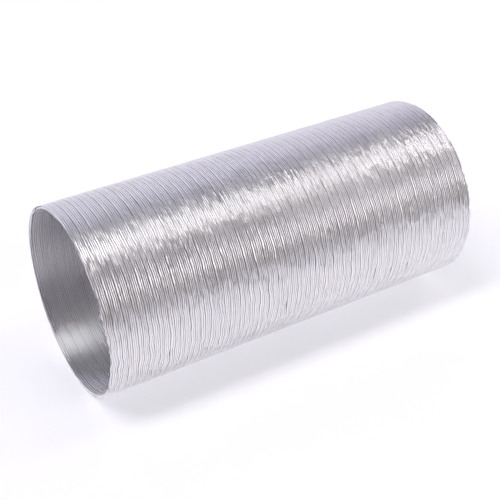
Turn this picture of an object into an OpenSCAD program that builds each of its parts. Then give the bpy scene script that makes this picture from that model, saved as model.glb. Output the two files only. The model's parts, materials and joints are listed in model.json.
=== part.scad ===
// Semi-rigid flexible air duct, lying on its side and compressed as supplied.
// One thin aluminium strip is corrugated, wound into a helix and folded to its own
// edge in a four-ply lock at every turn. Each node is one turn of that wall, drawn as
// a closed ring: it starts where its strip rises into the lock of the turn before,
// runs through its corrugations, and ends with its own lock.
// Sizes are in millimetres. +X runs along the bore from the near mouth to the far
// one, +Z is up, and the origin is the middle of the near mouth.

/* [Duct] */
// Inside diameter, which is the duct's nominal size
bore_d = 125; // [100:1:160]
// Turns of strip from mouth to mouth
turn_count = 39; // [8:1:56]
// Length that one turn takes up in the compressed duct
turn_pitch = 7.1; // [7:0.1:9]

/* [Wall] */
// Thickness of the aluminium strip
strip_t = 0.15; // [0.1:0.01:0.2]
// Depth of the corrugated wall, from the bore to the crests
wall_depth = 2.2; // [1.5:0.1:3]
// Corrugations in one turn, besides its lock
wave_count = 4; // [3:1:4]
// Width of each corrugation's crest
crest_w = 0.6; // [0.5:0.05:0.7]

/* [Lock] */
// Width of the folded lock that joins each turn to the next
lock_w = 1.7; // [1.2:0.1:2]
// Plies of strip folded together in the lock
lock_plies = 4; // [3:1:4]

/* [Flexing] */
// Clearance between one turn and the next, where the wall flexes
turn_gap = 0.1; // [0.08:0.01:0.2]

/* [Hidden] */
$fn = 180;
bore_r = bore_d / 2;
crest_r = bore_r + wall_depth;
floor_r = bore_r + strip_t;
lock_r = crest_r - lock_plies * strip_t;
// One turn's wall runs from first_x to last_x, with half the clearance at each end
first_x = turn_gap / 2;
last_x = turn_pitch - turn_gap / 2;
// The corrugations share what the lock leaves: a valley on each side of every crest
valley_w = (turn_pitch - lock_w - wave_count * crest_w) / (wave_count + 1);
wave_pitch = valley_w + crest_w;

// Names run from the near mouth to the far one

function turn_name(i) =
    i == 1 ? "near_end_turn" :
    i == turn_count ? "far_end_turn" :
    str("turn_", i < 10 ? "0" : "", i);

// Where crest number k starts and ends along the turn
function crest_start(k) = valley_w + k * wave_pitch;
function crest_end(k) = (k + 1) * wave_pitch;

// The strip's outer face: up the edge, over each crest, and along the top of the lock
function outer_face() = concat(
    [[first_x, crest_r], [first_x + strip_t, crest_r], [first_x + strip_t, floor_r]],
    [for (k = [0:wave_count - 1]) each [
        [crest_start(k), floor_r], [crest_start(k), crest_r],
        [crest_end(k), crest_r], [crest_end(k), floor_r]]],
    [[turn_pitch - lock_w, floor_r], [turn_pitch - lock_w, crest_r], [last_x, crest_r]]);

// The strip's inner face, followed back from the lock: one thickness inside the outer
// face, so that the valleys' floors are the bore
function inner_face() = concat(
    [[last_x, lock_r], [turn_pitch - lock_w + strip_t, lock_r],
        [turn_pitch - lock_w + strip_t, bore_r]],
    [for (k = [wave_count - 1:-1:0]) each [
        [crest_end(k) - strip_t, bore_r], [crest_end(k) - strip_t, crest_r - strip_t],
        [crest_start(k) + strip_t, crest_r - strip_t], [crest_start(k) + strip_t, bore_r]]],
    [[first_x, bore_r]]);

// One turn of the wall, turned about the bore's axis
module wall_turn() {
    rotate([0, 90, 0])
        rotate_extrude()
            polygon([for (p = concat(outer_face(), inner_face())) [p.y, p.x]]);
}

// Turn number i, in its place along the duct
module turn(i) {
    color("silver")
        translate([(i - 1) * turn_pitch, 0, 0])
            wall_turn();
}

for (i = [1:turn_count]) turn(i);
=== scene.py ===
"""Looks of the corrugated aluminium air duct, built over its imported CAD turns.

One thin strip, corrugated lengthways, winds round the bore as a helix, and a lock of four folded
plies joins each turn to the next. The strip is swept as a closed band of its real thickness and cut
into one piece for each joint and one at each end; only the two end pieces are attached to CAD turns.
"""

import json
import math

import bmesh
import bpy
import numpy as np
from mathutils import Matrix, Vector

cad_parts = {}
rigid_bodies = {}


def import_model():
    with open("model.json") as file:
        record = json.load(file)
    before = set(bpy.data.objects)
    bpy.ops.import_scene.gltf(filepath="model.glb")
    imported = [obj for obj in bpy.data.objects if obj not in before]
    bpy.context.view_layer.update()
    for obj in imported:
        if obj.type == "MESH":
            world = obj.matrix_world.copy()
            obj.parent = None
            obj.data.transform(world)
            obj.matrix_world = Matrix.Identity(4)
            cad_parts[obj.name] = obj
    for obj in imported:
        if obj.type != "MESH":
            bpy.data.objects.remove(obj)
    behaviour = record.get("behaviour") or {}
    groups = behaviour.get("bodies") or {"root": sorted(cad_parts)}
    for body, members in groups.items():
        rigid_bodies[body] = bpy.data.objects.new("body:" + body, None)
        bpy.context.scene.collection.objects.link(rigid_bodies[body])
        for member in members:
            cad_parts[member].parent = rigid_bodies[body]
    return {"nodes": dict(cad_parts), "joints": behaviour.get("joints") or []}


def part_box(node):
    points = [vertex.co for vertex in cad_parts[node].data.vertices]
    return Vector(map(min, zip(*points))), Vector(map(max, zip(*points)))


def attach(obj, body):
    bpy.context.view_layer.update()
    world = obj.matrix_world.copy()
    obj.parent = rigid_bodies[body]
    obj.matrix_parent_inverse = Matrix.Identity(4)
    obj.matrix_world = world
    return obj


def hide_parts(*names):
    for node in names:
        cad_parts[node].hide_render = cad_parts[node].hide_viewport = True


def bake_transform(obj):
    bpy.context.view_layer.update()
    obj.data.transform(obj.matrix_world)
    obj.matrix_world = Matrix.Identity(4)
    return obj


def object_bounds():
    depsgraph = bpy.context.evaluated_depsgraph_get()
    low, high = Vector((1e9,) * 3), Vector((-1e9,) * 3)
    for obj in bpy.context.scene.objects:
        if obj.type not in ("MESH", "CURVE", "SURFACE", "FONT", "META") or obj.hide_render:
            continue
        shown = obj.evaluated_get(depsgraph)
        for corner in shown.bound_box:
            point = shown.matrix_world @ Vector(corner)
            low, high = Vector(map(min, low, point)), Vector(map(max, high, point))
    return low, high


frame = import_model()
CAD_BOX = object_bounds()

# ---------------------------------------------------------------- the duct's own sizes, from the CAD
MM = 0.001
turns = sorted(frame["nodes"], key=lambda n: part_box(n)[0].x)
boxes = {n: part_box(n) for n in turns}
X_NEAR = boxes[turns[0]][0].x
X_FAR = boxes[turns[-1]][1].x
PITCH = (boxes[turns[-1]][0].x - X_NEAR) / (len(turns) - 1)
R_OUT = boxes[turns[0]][1].z
parting = [(boxes[a][1].x + boxes[b][0].x) / 2 for a, b in zip(turns, turns[1:])]
joint_type = {frozenset((j["parent"], j["child"])): j["type"] for j in frame["joints"]}

# the strip, in millimetres: u runs along the duct, r is measured down from the crests' tops
STRIP_T = 0.15
PLY = 0.18                 # from one ply of the lock to the next
DEPTH = 1.95               # crest top to valley floor, both outsides
FOLD_R = 0.24              # a corrugation's shoulder, at the middle of the strip
CROWN_R = 1.0              # the slighter curve between a crest's two shoulders
LOCK_CROWN_R = 1.8         # the same over the lock's outermost ply
LOCK_END = 1.62            # where the lock's own crest ends
LOCK_TOP = 0.54            # how far across it is highest
GROOVES = (0.11, 0.28, 0.08, 0.12, 0.31)       # the gap behind the lock and behind each crest
VALLEY_W = 1.10            # a valley over its outsides
COLUMNS = 144              # steps in one turn
RIM_COLUMNS = 480          # the same, close to the cut ends
PHASE = -0.05              # turns by which the helix is ahead at the near end
STEP_DEG = 45              # largest step round a fold

# how each piece's width is shared between sliding and bending joints
SLIDE_SHARE = 0.65

# wrinkles, in millimetres
DENT_A = 0.007             # shallow dents in and out
RIPPLE_A = 0.004           # the same, finer
WOBBLE_A = 0.04            # how far each fold wanders along the duct
SHEAR_A = 0.07             # how far the whole wall is pushed along the duct
HEIGHT_A = 0.035           # how far each fold wanders in and out
HANDLED_AT = 92.0          # degrees from the top towards -Y: the side that has been handled most
HANDLED_WIDTH = 34.0
HANDLED = 3.4              # how much more wrinkled it is there
HANDLED_SUNK = 0.6         # how far its folds are pressed in there, as a share of their wandering
HANDLED_WOBBLE = 0.25      # how much of HANDLED the wandering along the duct has
FOLD_RIPPLE = 0.45         # slope of the ripples along each fold
NICK_FADE = 0.7            # how far in from a cut end its nicks reach
NICK_MOST = 0.9            # the deepest nick
NICK_CURL = 0.5            # how far a nick's edge bends in or out, as a share of its depth
MARGIN_OUT = 0.12          # how far the crest tops stay inside the CAD's outside
# painted shade: a near-black colour mixed into the metal in the gaps between the folds, where shade falls
PAINTED_SHADE_FROM, PAINTED_SHADE_FULL = 0.10, 0.38            # depths below a crest's top between which it sets in
PAINTED_SHADE_END, PAINTED_SHADE_NONE = 1.25, 1.45             # and between which it ends again
PAINTED_SHADE = 0.62               # the most of the painted shade
PAINTED_SHADE_HANDLED_LESS = 0.75         # how much less painted shade there is where the duct has been handled
PAINTED_SHADE_REACH = 0.50         # how far it reaches from the middle of the gap before each lock
PAINTED_SHADE_ELSEWHERE = 0.35     # how much of it the other gaps have

rng = np.random.RandomState(7)

# where each crest and valley starts: a valley lies under the middle of each groove
CREST_W = (PITCH / MM - LOCK_END - sum(GROOVES)) / (len(GROOVES) - 1)
CRESTS = [LOCK_END + sum(GROOVES[:i + 1]) + i * CREST_W for i in range(len(GROOVES) - 1)]
VALLEYS = [LOCK_END + sum(GROOVES[:i]) + g / 2 + i * CREST_W - VALLEY_W / 2
           for i, g in enumerate(GROOVES)]


# ---------------------------------------------------------------- the strip's section
def left_of(h):
    return np.array([-h[1], h[0]])


def heading(angle):
    return np.array([math.cos(angle), math.sin(angle)])


def belt(rollers):
    """Points and left-hand normals of a path that wraps the rollers (u, r, radius, turn).

    turn is 1 where the path turns left round the roller and -1 where it turns right, and a
    radius of 0 is a free end.
    """
    angles = []
    for (u0, r0, q0, s0), (u1, r1, q1, s1) in zip(rollers, rollers[1:]):
        d = np.array([u1 - u0, r1 - r0])
        k = s1 * q1 - s0 * q0
        angles.append(math.atan2(d[1], d[0]) - math.atan2(k, math.sqrt(max(d @ d - k * k, 0))))
    points, normals = [], []
    for i, (u, r, q, s) in enumerate(rollers):
        a = angles[max(i - 1, 0)]
        b = angles[min(i, len(angles) - 1)]
        sweep = (s * (b - a)) % (2 * math.pi) if q else 0
        steps = max(1, math.ceil(math.degrees(sweep) / STEP_DEG)) if q and sweep > 0.02 else 0
        for k in range(steps + 1):
            n = left_of(heading(a + s * sweep * k / max(steps, 1)))
            point = np.array([u, r]) - s * q * n
            if not points or np.abs(point - points[-1]).max() > 1e-6:
                points.append(point)
                normals.append(n)
    return np.array(points), np.array(normals)


def drop(crown_r, shoulder_r, reach):
    """How far a shoulder's centre lies below its crown's top, so that the two curves meet."""
    return crown_r - math.sqrt((crown_r - shoulder_r) ** 2 - reach ** 2)


def bump(start, width, top, turn):
    """The rollers of one crest (turn -1) or valley (turn 1): two shoulders and a crown between."""
    half = STRIP_T / 2
    reach = width / 2 - FOLD_R - half
    middle = start + width / 2
    shoulder = top + turn * (half + drop(CROWN_R, FOLD_R, reach))
    return [(middle - reach, shoulder, FOLD_R, turn), (middle, top + turn * (half + CROWN_R), CROWN_R, turn),
            (middle + reach, shoulder, FOLD_R, turn)]


LOCK_TAIL = 1.12           # how far under the lock its own free edge reaches
HOOK_FROM, HOOK_TO, HOOK_END = 0.44, 1.2, 0.5  # the far edge's hook into the next lock, past a pitch
HOOK_R = 0.2               # the bend that leads down into it


def strip_section():
    """The closed outline of one strip across its width, and its outward normals, in (u, r)."""
    p = PITCH / MM
    half = STRIP_T / 2
    fold = PLY                                       # a lock fold wraps one ply of the next turn
    first, last = half + fold, LOCK_END - half - FOLD_R
    top = first + LOCK_TOP * (last - first)
    sag = drop(LOCK_CROWN_R, fold, top - first) - fold
    ply = [-half - sag - i * PLY for i in range(4)]  # the lock's plies, outermost first
    rollers = [(LOCK_TAIL, ply[2], 0, 1), (first, ply[1], fold, -1),
               (top, -half - LOCK_CROWN_R, LOCK_CROWN_R, -1),
               (last, -half - drop(LOCK_CROWN_R, FOLD_R, last - top), FOLD_R, -1)]
    for i, v in enumerate(VALLEYS):
        rollers += bump(v, VALLEY_W, -DEPTH, 1)
        if i < len(CRESTS):
            rollers += bump(CRESTS[i], CREST_W, 0.0, -1)
    rollers += [(p + HOOK_FROM, ply[3] - HOOK_R, HOOK_R, -1), (p + HOOK_TO, ply[2], fold, 1),
                (p + HOOK_END, ply[1], 0, 1)]
    mid, n = belt(rollers)
    outline = np.vstack([mid + half * n, (mid - half * n)[::-1]])
    normal = np.vstack([n, -n[::-1]])
    return outline, normal


# ---------------------------------------------------------------- wrinkles
def waves(count, low, high, periodic=True, decay=0.5):
    """Random cosines, as (round number, lengthwise number, phase, weight), wavelengths in mm."""
    length = low * (high / low) ** rng.rand(count)
    turn = rng.rand(count) * 2 * math.pi
    k = 2 * math.pi / length
    m = k * np.cos(turn) * R_OUT / MM
    m = np.round(m) if periodic else m
    w = (length / high) ** decay
    return m, k * np.sin(turn), rng.rand(count) * 2 * math.pi, w / math.sqrt((w * w).sum() / 2)


def field(wave, x_mm, th):
    """The waves' sum, and its slopes along the duct and round it, per millimetre."""
    f = np.zeros_like(x_mm)
    fx, ft = np.zeros_like(f), np.zeros_like(f)
    for m, k, phase, w in zip(*wave):
        a = m * th + k * x_mm + phase
        s = np.sin(a)
        f += w * np.cos(a)
        fx -= w * k * s
        ft -= w * m * s / (R_OUT / MM)
    return f, fx, ft


DENTS = waves(48, 7.0, 34.0)
RIPPLE = waves(60, 5.8, 12.0)
SHEAR = waves(60, 6.0, 22.0)
# along the strip: one set of cosines for each crest and valley, so that each fold wanders by itself
FOLDS = [waves(26, 5.0, 40.0, periodic=False) for _ in range(2 * len(CRESTS) + 2)]
LIFTS = [waves(26, 8.5, 30.0, periodic=False) for _ in range(2 * len(CRESTS) + 2)]


def along_strip(sets, index, s_mm):
    """How one fold wanders with the distance along the strip, about -1 to 1."""
    m, _, phase, w = sets[index]
    k = m / (R_OUT / MM)
    f = (w[:, None] * np.cos(k[:, None] * s_mm[None, :] + phase[:, None])).sum(0)
    return np.tanh(f / 1.6) * 1.2


def fold_shift(sets, u, t):
    """The shift of each section point (rows) at each column (t, in turns), in about -1 to 1."""
    length = t * 2 * math.pi * R_OUT / MM
    turn = 2 * math.pi * R_OUT / MM
    lock = along_strip(sets, 0, length)
    next_lock = along_strip(sets, 0, length + turn)
    knots, values = [LOCK_END - 0.2], [lock]
    for i, v in enumerate(VALLEYS):
        knots.append(v + VALLEY_W / 2)
        values.append(along_strip(sets, 2 * i + 1, length))
        if i < len(CRESTS):
            knots.append(CRESTS[i] + CREST_W / 2)
            values.append(along_strip(sets, 2 * i + 2, length))
    knots.append(PITCH / MM + 0.24)
    values.append(next_lock)
    values = np.array(values)
    at = np.clip(u, knots[0], knots[-1])
    hi = np.clip(np.searchsorted(knots, at, side="right"), 1, len(knots) - 1)
    k = np.array(knots)
    w = ((at - k[hi - 1]) / (k[hi] - k[hi - 1]))[:, None]
    return values[hi - 1] * (1 - w) + values[hi] * w


# ---------------------------------------------------------------- the wall's mesh
OUTLINE, OUT_NORMAL = strip_section()
U_END = OUTLINE[:, 0].max()


def sweep(x0, x1, columns):
    """The strip round the bore wherever it may reach x0 to x1: points, normals (rows x columns)."""
    p = PITCH / MM
    first = math.floor(((x0 - X_NEAR) / MM - U_END) / p * columns) - 2
    last = math.ceil((x1 - X_NEAR) / MM / p * columns) + 2
    t = np.arange(first, last + 1) / columns - PHASE
    th = -2 * math.pi * t
    u = OUTLINE[:, :1]
    shift = fold_shift(FOLDS, OUTLINE[:, 0], t)
    lift = fold_shift(LIFTS, OUTLINE[:, 0], t)
    x = u + p * (t + PHASE)[None, :]
    angle = np.broadcast_to(th, x.shape)
    d, dx, dt = field(DENTS, x, angle)
    e, ex, et = field(RIPPLE, x, angle)
    g, gx, gt = field(SHEAR, x, angle)
    from_side = (np.degrees(th) - HANDLED_AT + 180) % 360 - 180
    worn = HANDLED * np.exp(-(from_side / HANDLED_WIDTH) ** 2)
    step = 2 * math.pi * R_OUT / MM / columns
    lift = HEIGHT_A * ((1 + worn) * lift - HANDLED_SUNK * worn)
    rise = DENT_A * d + RIPPLE_A * e + lift
    rise_x, rise_t = DENT_A * dx + RIPPLE_A * ex, DENT_A * dt + RIPPLE_A * et
    rise_t = rise_t - np.gradient(lift, axis=1) / step
    sheared = SHEAR_A * (1 + worn)
    slide = WOBBLE_A * (1 + HANDLED_WOBBLE * worn) * shift + sheared * g
    slide_x, slide_t = sheared * gx, sheared * gt
    r = R_OUT / MM - MARGIN_OUT + OUTLINE[:, 1:] + rise
    r = np.where(OUTLINE[:, 1:] + rise > MARGIN_OUT, R_OUT / MM, r)
    nu, nr = OUT_NORMAL[:, :1], OUT_NORMAL[:, 1:]
    lead = p / (2 * math.pi * R_OUT / MM)
    n_x = nu - nr * rise_x - nu * slide_x
    n_r = nr * np.ones_like(x)
    # the angle runs against the columns, and the helix's lead leans every wall a little
    n_t = nu * lead - nr * rise_t - nu * slide_t
    x = X_NEAR / MM + x + slide
    c, s = np.cos(angle), np.sin(angle)
    points = np.stack([x, -r * s, r * c], -1) * MM
    normals = np.stack([n_x, -n_r * s - n_t * c, n_r * c - n_t * s], -1)
    normals /= np.linalg.norm(normals, axis=-1, keepdims=True)
    return points, normals


def band_mesh(name, points, normals):
    """One closed-round band of quads from the swept outline."""
    rows, cols = points.shape[:2]
    i, j = np.meshgrid(np.arange(rows), np.arange(cols - 1), indexing="ij")
    k = (i + 1) % rows
    quads = np.stack([i * cols + j, k * cols + j, k * cols + j + 1, i * cols + j + 1], -1).reshape(-1, 4)
    mesh = bpy.data.meshes.new(name)
    mesh.vertices.add(rows * cols)
    mesh.vertices.foreach_set("co", points.astype(np.float32).ravel())
    mesh.loops.add(quads.size)
    mesh.loops.foreach_set("vertex_index", quads.astype(np.int32).ravel())
    mesh.polygons.add(len(quads))
    mesh.polygons.foreach_set("loop_start", np.arange(0, quads.size, 4, dtype=np.int32))
    mesh.update(calc_edges=True)
    facing = mesh.attributes.new("facing", "FLOAT_VECTOR", "POINT")
    facing.data.foreach_set("vector", normals.astype(np.float32).ravel())
    return mesh


def cut(bm, x, keep_above):
    """Cuts the mesh at x and keeps one side; returns the edges along the cut."""
    made = bmesh.ops.bisect_plane(
        bm, geom=bm.verts[:] + bm.edges[:] + bm.faces[:], dist=1e-8, plane_co=(x, 0, 0),
        plane_no=(1, 0, 0), clear_inner=keep_above, clear_outer=not keep_above)
    return [e for e in made["geom_cut"] if isinstance(e, bmesh.types.BMEdge) and e.is_valid]


def close_cut(bm, x, side):
    """Closes the strip's cut end at x with flat faces of their own, facing along X."""
    edges = [e for e in bm.edges if e.is_boundary and all(abs(v.co.x - x) < 1e-7 for v in e.verts)]
    made = bmesh.ops.triangle_fill(bm, edges=edges, use_beauty=True, normal=(side, 0, 0))
    faces = [f for f in made["geom"] if isinstance(f, bmesh.types.BMFace)]
    parts = bmesh.ops.split(bm, geom=faces)
    layer = bm.verts.layers.float_vector["facing"]
    for f in parts["geom"]:
        if isinstance(f, bmesh.types.BMFace):
            if f.normal.x * side < 0:
                f.normal_flip()
            for v in f.verts:
                v[layer] = Vector((side, 0, 0))


def ragged(bm, x, side):
    """Nicks the strip's cut edge at x: it draws back a little here and there, and curls in or out."""
    # each nick's place round the rim in degrees, depth and width: small ones all round, and
    # larger ones on the side that has been handled
    spots = [(rng.uniform(-180, 180), rng.uniform(0.03, 0.16), rng.uniform(0.5, 2.5)) for _ in range(40)]
    spots += [(rng.uniform(50, 122), rng.uniform(0.25, 0.85), rng.uniform(0.5, 1.8)) for _ in range(18)]
    at, deep, wide = np.array(spots).T
    curl = rng.uniform(-1, 0.5, len(at))
    for v in bm.verts:
        depth = abs(v.co.x - x) / MM
        fade = math.exp(-(depth / NICK_FADE) ** 2)
        if fade < 0.002:
            continue
        around = math.degrees(math.atan2(-v.co.y, v.co.z))
        gap = ((around - at + 180) % 360 - 180) * math.radians(1) * R_OUT / MM
        here = deep * np.exp(-(gap / wide) ** 2)
        v.co.x -= side * min(here.sum(), NICK_MOST) * fade * MM
        radius = math.hypot(v.co.y, v.co.z)
        moved = min(radius + (here * curl).sum() * NICK_CURL * fade * MM, R_OUT)
        v.co.y *= moved / radius
        v.co.z *= moved / radius


def painted_groove_shade(points):
    """How much painted shade darkens the metal, 0 to 1: most in the gap before each lock, a little in the
    others.
    """
    p = PITCH / MM
    x, y, z = points.T
    depth = (R_OUT - np.hypot(y, z)) / MM - MARGIN_OUT
    u = (x - X_NEAR) / MM + p * (np.arctan2(-y, z) / (2 * math.pi) - PHASE)
    beside = np.abs((u + GROOVES[-1] / 2 + p / 2) % p - p / 2)
    amount = PAINTED_SHADE * np.clip((PAINTED_SHADE_REACH - beside) * 10, PAINTED_SHADE_ELSEWHERE, 1)
    away = np.abs((np.degrees(np.arctan2(-y, z)) - HANDLED_AT + 180) % 360 - 180)
    amount *= 1 - PAINTED_SHADE_HANDLED_LESS * np.exp(-(away / HANDLED_WIDTH) ** 2)
    sets_in = np.clip((depth - PAINTED_SHADE_FROM) / (PAINTED_SHADE_FULL - PAINTED_SHADE_FROM), 0, 1)
    return amount * sets_in * np.clip((PAINTED_SHADE_NONE - depth) / (PAINTED_SHADE_NONE - PAINTED_SHADE_END), 0, 1)


def wall_piece(name, x0, x1, columns=COLUMNS, mouth=None):
    """The strip between two planes across the duct, as an object with its own smooth normals."""
    mesh = band_mesh(name, *sweep(x0, x1, columns))
    bm = bmesh.new()
    bm.from_mesh(mesh)
    cut(bm, x0, True)
    cut(bm, x1, False)
    if mouth is not None:
        close_cut(bm, x0 if mouth < 0 else x1, mouth)
        ragged(bm, x0 if mouth < 0 else x1, mouth)
    bm.to_mesh(mesh)
    bm.free()
    mesh.update()
    count = len(mesh.vertices)
    points = np.zeros(count * 3, np.float32)
    mesh.vertices.foreach_get("co", points)
    # painted shade for the gaps between the folds, kept on each point for the material
    painted_shade_layer = mesh.attributes.new("painted_groove_shade", "FLOAT", "POINT")
    painted_shade_layer.data.foreach_set("value", painted_groove_shade(points.reshape(-1, 3)).astype(np.float32))
    facing = np.zeros(count * 3, np.float32)
    mesh.attributes["facing"].data.foreach_get("vector", facing)
    facing = facing.reshape(-1, 3)
    facing /= np.maximum(np.linalg.norm(facing, axis=1, keepdims=True), 1e-9)
    mesh.attributes.remove(mesh.attributes["facing"])
    mesh.polygons.foreach_set("use_smooth", np.ones(len(mesh.polygons), bool))
    mesh.normals_split_custom_set_from_vertices(facing.tolist())
    obj = bpy.data.objects.new(name, mesh)
    bpy.context.scene.collection.objects.link(obj)
    return obj


# ---------------------------------------------------------------- material
def aluminium():
    """Bright mill-finish strip: rolling lines along it, crinkles across it, faint smudges, and painted shade
    darkening the gaps between its folds.
    """
    mat = bpy.data.materials.new("corrugated_aluminium")
    mat.use_nodes = True
    nodes, links = mat.node_tree.nodes, mat.node_tree.links
    shader = nodes["Principled BSDF"]

    def node(kind, **inputs):
        n = nodes.new(kind)
        for key, value in inputs.items():
            if hasattr(n, key) and key not in n.inputs:
                setattr(n, key, value)
            else:
                n.inputs[key].default_value = value
        return n

    def maths(operation, a, b=None):
        n = nodes.new("ShaderNodeMath")
        n.operation = operation
        for socket, value in zip(n.inputs, (a, b)):
            if hasattr(value, "links"):
                links.new(value, socket)
            elif value is not None:
                socket.default_value = value
        return n.outputs[0]

    place = node("ShaderNodeTexCoord")
    xyz = node("ShaderNodeSeparateXYZ")
    links.new(place.outputs["Object"], xyz.inputs[0])
    around = maths("MULTIPLY", maths("ARCTAN2", xyz.outputs["Y"], xyz.outputs["Z"]), R_OUT)
    radius = maths("SQRT", maths("ADD", maths("POWER", xyz.outputs["Y"], 2.0),
                                 maths("POWER", xyz.outputs["Z"], 2.0)))

    def pattern(x_scale, round_scale, detail, seed):
        """Noise stretched along or across the strip; scales are repeats per metre."""
        joined = node("ShaderNodeCombineXYZ")
        links.new(maths("MULTIPLY", xyz.outputs["X"], x_scale), joined.inputs[0])
        links.new(maths("MULTIPLY", around, round_scale), joined.inputs[1])
        links.new(maths("ADD", maths("MULTIPLY", radius, x_scale), seed), joined.inputs[2])
        noise = node("ShaderNodeTexNoise", Scale=1.0, Detail=detail)
        links.new(joined.outputs[0], noise.inputs["Vector"])
        return noise.outputs["Fac"]

    rolling = pattern(5200.0, 90.0, 3.0, 0.0)
    crinkle = pattern(700.0, 620.0, 2.0, 5.0)
    smudge = pattern(35.0, 28.0, 4.0, 9.0)

    def ranged(value, low, high):
        n = nodes.new("ShaderNodeMapRange")
        links.new(value, n.inputs["Value"])
        n.inputs["From Min"].default_value = 0.3
        n.inputs["From Max"].default_value = 0.7
        n.inputs["To Min"].default_value = low
        n.inputs["To Max"].default_value = high
        return n.outputs[0]

    rough = maths("ADD", ranged(rolling, 0.30, 0.40), ranged(smudge, -0.03, 0.05))
    links.new(rough, shader.inputs["Roughness"])
    tint = nodes.new("ShaderNodeMix")
    tint.data_type = "RGBA"
    links.new(ranged(smudge, 0.0, 1.0), tint.inputs["Factor"])
    tint.inputs[6].default_value = (0.86, 0.845, 0.86, 1)
    tint.inputs[7].default_value = (0.91, 0.895, 0.91, 1)
    # painted shade: the metal's colour is mixed towards near-black in the gaps between the folds, where
    # shade falls
    painted_shade_layer = nodes.new("ShaderNodeAttribute")
    painted_shade_layer.attribute_name = "painted_groove_shade"
    painted_shade_mix = nodes.new("ShaderNodeMix")
    painted_shade_mix.data_type = "RGBA"
    links.new(painted_shade_layer.outputs["Fac"], painted_shade_mix.inputs["Factor"])
    links.new(tint.outputs[2], painted_shade_mix.inputs[6])
    painted_shade_mix.inputs[7].default_value = (0.13, 0.125, 0.135, 1)
    links.new(painted_shade_mix.outputs[2], shader.inputs["Base Color"])
    shader.inputs["Metallic"].default_value = 1.0
    bump = nodes.new("ShaderNodeBump")
    bump.inputs["Strength"].default_value = 1.0
    bump.inputs["Distance"].default_value = 0.00002
    links.new(maths("ADD", maths("MULTIPLY", crinkle, 1.0), maths("MULTIPLY", rolling, 0.06)),
              bump.inputs["Height"])
    # each fold ripples along its own length: the normal leans round the duct by a small slope
    ripple = maths("MULTIPLY", maths("SUBTRACT", pattern(640.0, 170.0, 1.0, 13.0), 0.5), FOLD_RIPPLE)
    lean = node("ShaderNodeCombineXYZ")
    for socket, value in zip(lean.inputs[1:], (maths("MULTIPLY", xyz.outputs["Z"], -1.0), xyz.outputs["Y"])):
        links.new(maths("MULTIPLY", maths("DIVIDE", value, radius), ripple), socket)
    turned = node("ShaderNodeVectorTransform", vector_type="VECTOR", convert_from="OBJECT",
                  convert_to="WORLD")
    links.new(lean.outputs[0], turned.inputs[0])
    total = node("ShaderNodeVectorMath", operation="ADD")
    links.new(bump.outputs[0], total.inputs[0])
    links.new(turned.outputs[0], total.inputs[1])
    unit = node("ShaderNodeVectorMath", operation="NORMALIZE")
    links.new(total.outputs[0], unit.inputs[0])
    links.new(unit.outputs[0], shader.inputs["Normal"])
    return mat


METAL = aluminium()

# ---------------------------------------------------------------- the pieces
half = {"slide": SLIDE_SHARE * PITCH, "hinge": (1 - SLIDE_SHARE) * PITCH}
halves = [half[joint_type[frozenset(pair)]] for pair in zip(turns, turns[1:])]
pieces = []
near = wall_piece("wall_near_end", X_NEAR, parting[0] - halves[0], RIM_COLUMNS, mouth=-1)
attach(near, turns[0])
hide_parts(turns[0])
pieces.append(near)
for i, (x, h) in enumerate(zip(parting, halves)):
    a, b = turns[i], turns[i + 1]
    piece = wall_piece(f"wall_{i + 1:02d}", x - h, x + h)
    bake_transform(piece)
    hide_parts(b)
    pieces.append(piece)
far = wall_piece("wall_far_end", parting[-1] + halves[-1], X_FAR, RIM_COLUMNS, mouth=1)
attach(far, turns[-1])
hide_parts(turns[-1])
pieces.append(far)
for piece in pieces:
    piece.data.materials.append(METAL)

# ---------------------------------------------------------------- floor, light and camera
CENTRE = Vector(((X_NEAR + X_FAR) / 2, 0, 0))
FLOOR_HALF = 25.0
STRIP_AWAY, STRIP_LENGTH, BOX_AWAY = 1.8, 2.2, 1.9        # metres
CAMERA_LENS, CAMERA_SENSOR = 77.4, 36.0                   # millimetres
CAMERA_AZIMUTH, CAMERA_ELEVATION = -30.9, 35.07           # degrees
CAMERA_AT = R_OUT * Vector((-4.8985, -8.1048, 6.5133))    # from the duct's centre


def floor():
    """A plain pale floor under the duct, with a little light of its own so that it stays pale."""
    size = FLOOR_HALF
    mesh = bpy.data.meshes.new("floor")
    z = CAD_BOX[0].z
    mesh.from_pydata([(-size, -size, z), (size, -size, z), (size, size, z), (-size, size, z)], [],
                     [(0, 1, 2, 3)])
    obj = bpy.data.objects.new("floor", mesh)
    bpy.context.scene.collection.objects.link(obj)
    mat = bpy.data.materials.new("pale_floor")
    mat.use_nodes = True
    shader = mat.node_tree.nodes["Principled BSDF"]
    shader.inputs["Base Color"].default_value = (0.78, 0.78, 0.79, 1)
    shader.inputs["Roughness"].default_value = 0.9
    shader.inputs["Emission Color"].default_value = (1.0, 0.99, 1.06, 1)
    shader.inputs["Emission Strength"].default_value = 0.40
    obj.data.materials.append(mat)
    return obj


def softbox(name, angle, lean, distance, length, width, x, radiance, colour):
    """A plain rectangular light facing the duct, its long side along X where it can be.

    angle is from straight up towards -Y, and lean is how much of its direction is along +X.
    """
    a, across = math.radians(angle), math.sqrt(1 - lean * lean)
    facing = Vector((lean, -across * math.sin(a), across * math.cos(a)))
    along = (Vector((1, 0, 0)) - facing * facing.x).normalized()
    turn = Matrix((along, facing.cross(along), facing)).transposed()
    data = bpy.data.lights.new(name, "AREA")
    data.shape = "RECTANGLE"
    data.size, data.size_y = length, width
    data.color = colour
    data.energy = radiance * math.pi * length * width
    obj = bpy.data.objects.new(name, data)
    obj.location = CENTRE + Vector((x, 0, 0)) + facing * distance
    obj.rotation_mode = "QUATERNION"
    obj.rotation_quaternion = turn.to_quaternion()
    bpy.context.scene.collection.objects.link(obj)
    return obj


floor()
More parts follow.
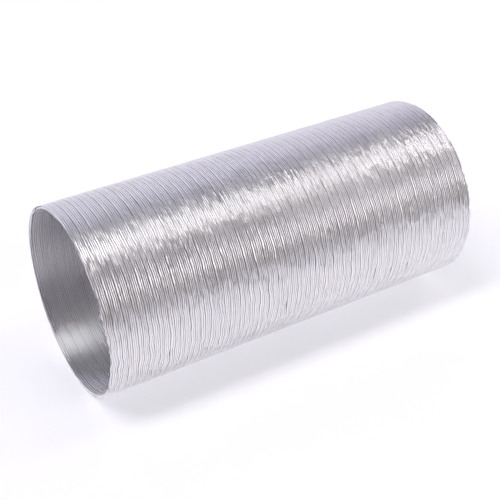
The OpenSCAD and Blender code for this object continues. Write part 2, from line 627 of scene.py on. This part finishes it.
# long strips, each square to the duct: name, angle, width, centre along X, radiance, colour
for name, angle, width, x, radiance, colour in (
        ("strip_back_low", -80, 0.40, 0.75, 0.78, (1.03, 1.02, 1.06)),
        ("strip_back_middle", -65, 0.40, 0.75, 0.89, (1.01, 0.98, 1.16)),
        ("strip_back", -50, 0.40, 0.75, 1.06, (1.10, 1.06, 1.26)),
        ("strip_back_high", -35, 0.40, 0.75, 0.70, (0.97, 0.94, 1.20)),
        ("strip_over", 9, 0.42, 0.95, 1.40, (0.98, 0.95, 0.94)),
        ("strip_front", 52, 0.40, 0.95, 2.0, (1.10, 1.07, 1.13)),
        ("strip_front_low", 62, 0.38, 0.95, 1.55, (1.06, 1.00, 0.95))):
    softbox(name, angle, 0.0, STRIP_AWAY, STRIP_LENGTH, width, x, radiance, colour)
# broad boxes off the duct's ends: name, angle, lean, length, width, radiance, colour
for name, angle, lean, length, width, radiance, colour in (
        ("box_near", 3, -0.45, 1.2, 0.42, 8.0, (1.18, 1.16, 1.20)),
        ("box_near_back", -80, -0.50, 1.0, 0.6, 1.9, (1.04, 1.02, 1.28)),
        ("box_near_low", -50, -0.88, 1.2, 1.0, 1.2, (0.60, 0.60, 0.75)),
        ("box_far", 0, 0.88, 1.2, 1.0, 1.9, (0.80, 0.75, 0.76)),
        ("box_far_back", -45, 0.88, 1.2, 1.0, 0.45, (0.80, 0.79, 0.94))):
    softbox(name, angle, lean, BOX_AWAY, length, width, 0.0, radiance, colour)

world = bpy.data.worlds.new("studio")
world.use_nodes = True
sky = world.node_tree.nodes["Background"]
sky.inputs["Color"].default_value = (1.0, 0.98, 1.08, 1)
sky.inputs["Strength"].default_value = 0.09
bpy.context.scene.world = world

camera_data = bpy.data.cameras.new("camera")
camera_data.lens = CAMERA_LENS
camera_data.sensor_width = CAMERA_SENSOR
camera = bpy.data.objects.new("camera", camera_data)
azimuth, elevation = math.radians(CAMERA_AZIMUTH), math.radians(CAMERA_ELEVATION)
back = Vector((math.sin(azimuth) * math.cos(elevation), -math.cos(azimuth) * math.cos(elevation),
               math.sin(elevation)))
camera.location = CENTRE + CAMERA_AT
camera.rotation_mode = "QUATERNION"
camera.rotation_quaternion = (-back).to_track_quat("-Z", "Y")
bpy.context.scene.collection.objects.link(camera)
bpy.context.scene.camera = camera
bpy.context.scene.view_settings.view_transform = "Standard"
